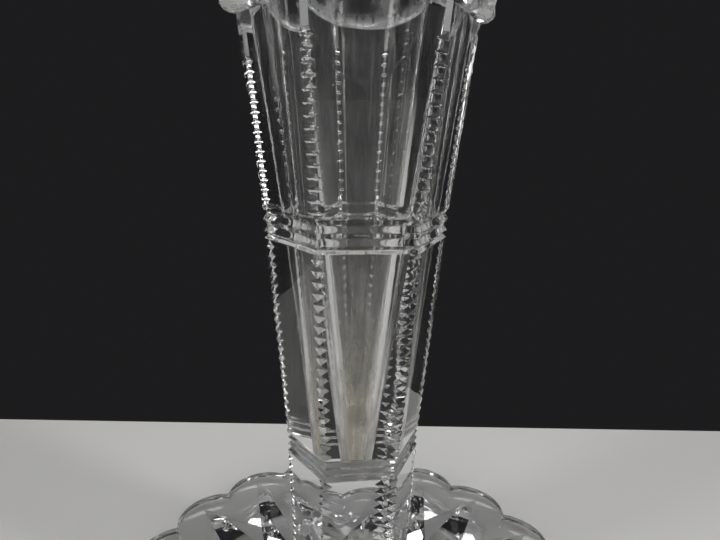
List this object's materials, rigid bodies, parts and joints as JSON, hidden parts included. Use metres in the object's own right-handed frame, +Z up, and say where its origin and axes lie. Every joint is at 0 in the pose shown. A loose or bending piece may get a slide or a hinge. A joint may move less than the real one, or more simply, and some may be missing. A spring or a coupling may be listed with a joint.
{
  "type": "cut glass vase",
  "caption": "Tall hexagonal clear-glass vase with notched corners, two grooved bands, a tapering round well, a flared lobed crown and a wide scalloped star-cut foot.",
  "frame": {"origin": "centre of the underside of the foot, on the surface that the vase stands on", "axes": "+Z up the vase's axis; two corners of the hexagon lie on X, so a flat panel faces -Y"},
  "size_m": [0.1574, 0.1564, 0.2042],
  "materials": {
    "foot_glass": "clear, polished star cuts",
    "stem_glass": "clear, polished panels with notched corners",
    "lower_body_glass": "clear panels, satin grooves, a pale dried film in the well",
    "upper_body_glass": "clear panels with notched corners and satin grooves",
    "crown_glass": "clear with frosted, crinkled corner lobes"
  },
  "bodies": {
    "root": {"foot": "foot_glass", "stem": "stem_glass", "lower_body": "lower_body_glass", "upper_body": "upper_body_glass", "crown": "crown_glass"}
  },
  "joints": []
}
